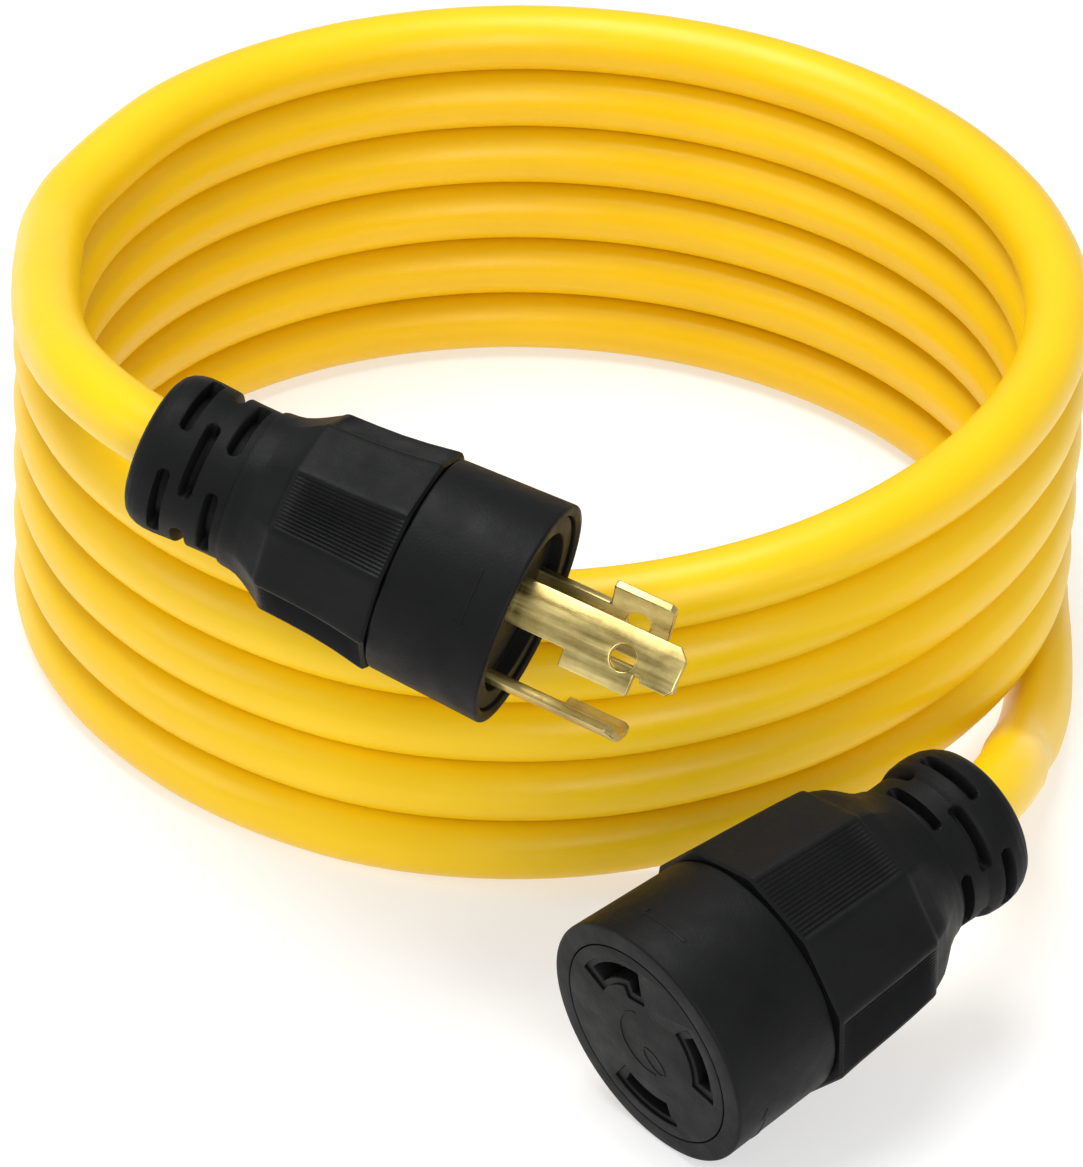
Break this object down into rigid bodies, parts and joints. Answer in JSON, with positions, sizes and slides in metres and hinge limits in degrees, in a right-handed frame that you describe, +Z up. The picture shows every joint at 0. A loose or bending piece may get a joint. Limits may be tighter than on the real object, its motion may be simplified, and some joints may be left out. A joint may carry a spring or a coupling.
{
  "type": "shore power cord",
  "caption": "Heavy coiled shore power cord with a curved-blade locking plug on one end and a matching locking connector on the other.",
  "frame": {"origin": "middle of the footprint, on the floor that the coil lies on", "axes": "+Z up along the coil's axis; -Y towards the side where the connector lies; +X to the right of that"},
  "size_m": [0.2642, 0.3812, 0.135],
  "materials": {
    "jacket": "satin yellow cord jacket",
    "black_plastic": "fine-grained charcoal moulding, lightly scuffed",
    "black_rubber": "matte charcoal rubber",
    "seal_rubber": "matte red seal rubber",
    "clamp_plastic": "natural moulding",
    "brass": "brushed, slightly tarnished",
    "steel": "plated",
    "ground_insulation": "green insulation",
    "line_insulation": "black insulation",
    "neutral_insulation": "white insulation"
  },
  "bodies": {
    "root": {"connector_clamp_screw_left": "steel", "connector_clamp_screw_right": "steel", "connector_cord_clamp_lower": "clamp_plastic", "connector_cord_clamp_upper": "clamp_plastic", "connector_core": "black_plastic", "connector_front_shell": "black_plastic", "connector_ground_contact": "brass", "connector_ground_terminal": "brass", "connector_ground_terminal_screw": "steel", "connector_ground_wire": "ground_insulation", "connector_line_contact": "brass", "connector_line_terminal": "brass", "connector_line_terminal_screw": "steel", "connector_line_wire": "line_insulation", "connector_neutral_contact": "brass", "connector_neutral_terminal": "brass", "connector_neutral_terminal_screw": "steel", "connector_neutral_wire": "neutral_insulation", "connector_seal_ring": "seal_rubber", "connector_strain_relief": "black_rubber", "cord_coil": "jacket", "cord_plug_lead": "jacket", "cord_tail": "jacket", "cord_top_turn": "jacket", "plug_clamp_screw_left": "steel", "plug_clamp_screw_right": "steel", "plug_cord_clamp_lower": "clamp_plastic", "plug_cord_clamp_upper": "clamp_plastic", "plug_core": "black_plastic", "plug_front_shell": "black_plastic", "plug_ground_blade": "brass", "plug_ground_terminal": "brass", "plug_ground_terminal_screw": "steel", "plug_ground_wire": "ground_insulation", "plug_line_blade": "brass", "plug_line_terminal": "brass", "plug_line_terminal_screw": "steel", "plug_line_wire": "line_insulation", "plug_neutral_blade": "brass", "plug_neutral_terminal": "brass", "plug_neutral_terminal_screw": "steel", "plug_neutral_wire": "neutral_insulation", "plug_seal_ring": "seal_rubber", "plug_strain_relief": "black_rubber"},
    "plug_washer": {"plug_slip_washer": "black_plastic"},
    "plug_housing": {"plug_rear_housing": "black_plastic"},
    "connector_washer": {"connector_slip_washer": "black_plastic"},
    "connector_housing": {"connector_rear_housing": "black_plastic"}
  },
  "joints": [
    {"name": "plug_washer_slide", "type": "slide", "parent": "root", "child": "plug_washer", "axis": [-0.9097, 0.3598, 0.2074], "range_m": [0, 0.009]},
    {"name": "plug_housing_turn", "type": "hinge", "parent": "plug_washer", "child": "plug_housing", "pos_m": [-0.04318, -0.08291, 0.10733], "axis": [-0.9097, 0.3598, 0.2074], "range_deg": [0, 1080]},
    {"name": "connector_washer_slide", "type": "slide", "parent": "root", "child": "connector_washer", "axis": [0.7295, 0.6568, 0.1908], "range_m": [0, 0.009]},
    {"name": "connector_housing_turn", "type": "hinge", "parent": "connector_washer", "child": "connector_housing", "pos_m": [0.06059, -0.13824, 0.03879], "axis": [0.7295, 0.6568, 0.1908], "range_deg": [0, 1080]}
  ],
  "couplings": [
    {"joint": "plug_washer_slide", "follows": "plug_housing_turn", "m_per_rad": 0.000477},
    {"joint": "connector_washer_slide", "follows": "connector_housing_turn", "m_per_rad": 0.000477}
  ]
}
